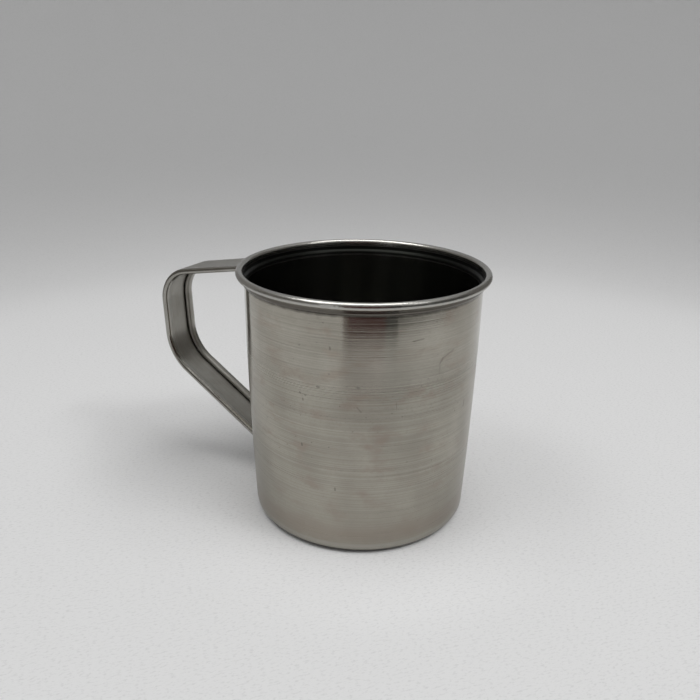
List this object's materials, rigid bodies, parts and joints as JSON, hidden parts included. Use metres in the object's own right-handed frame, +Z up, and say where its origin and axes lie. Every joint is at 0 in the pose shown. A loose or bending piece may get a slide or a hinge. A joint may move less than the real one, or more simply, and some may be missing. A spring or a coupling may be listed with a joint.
{
  "type": "shaving mug",
  "caption": "Straight-sided drawn steel mug for shaving lather, with a curled round rim, a rounded base and a spot-welded strap handle whose edges are rolled inwards.",
  "frame": {"origin": "centre of the resting face, on the cup's axis", "axes": "+Z up along the cup's axis, the handle points along -X, and the mug is symmetric about its XZ plane"},
  "size_m": [0.1175, 0.08, 0.0822],
  "materials": {
    "cup_steel": "stainless sheet, brushed round the axis outside, polished inside",
    "handle_steel": "stainless strip, satin along its length",
    "weld_steel": "pressed spot-weld marks, slightly darkened"
  },
  "bodies": {
    "root": {"cup_shell": "cup_steel", "handle_strap": "handle_steel", "upper_spot_welds": "weld_steel", "lower_spot_welds": "weld_steel"}
  },
  "joints": []
}
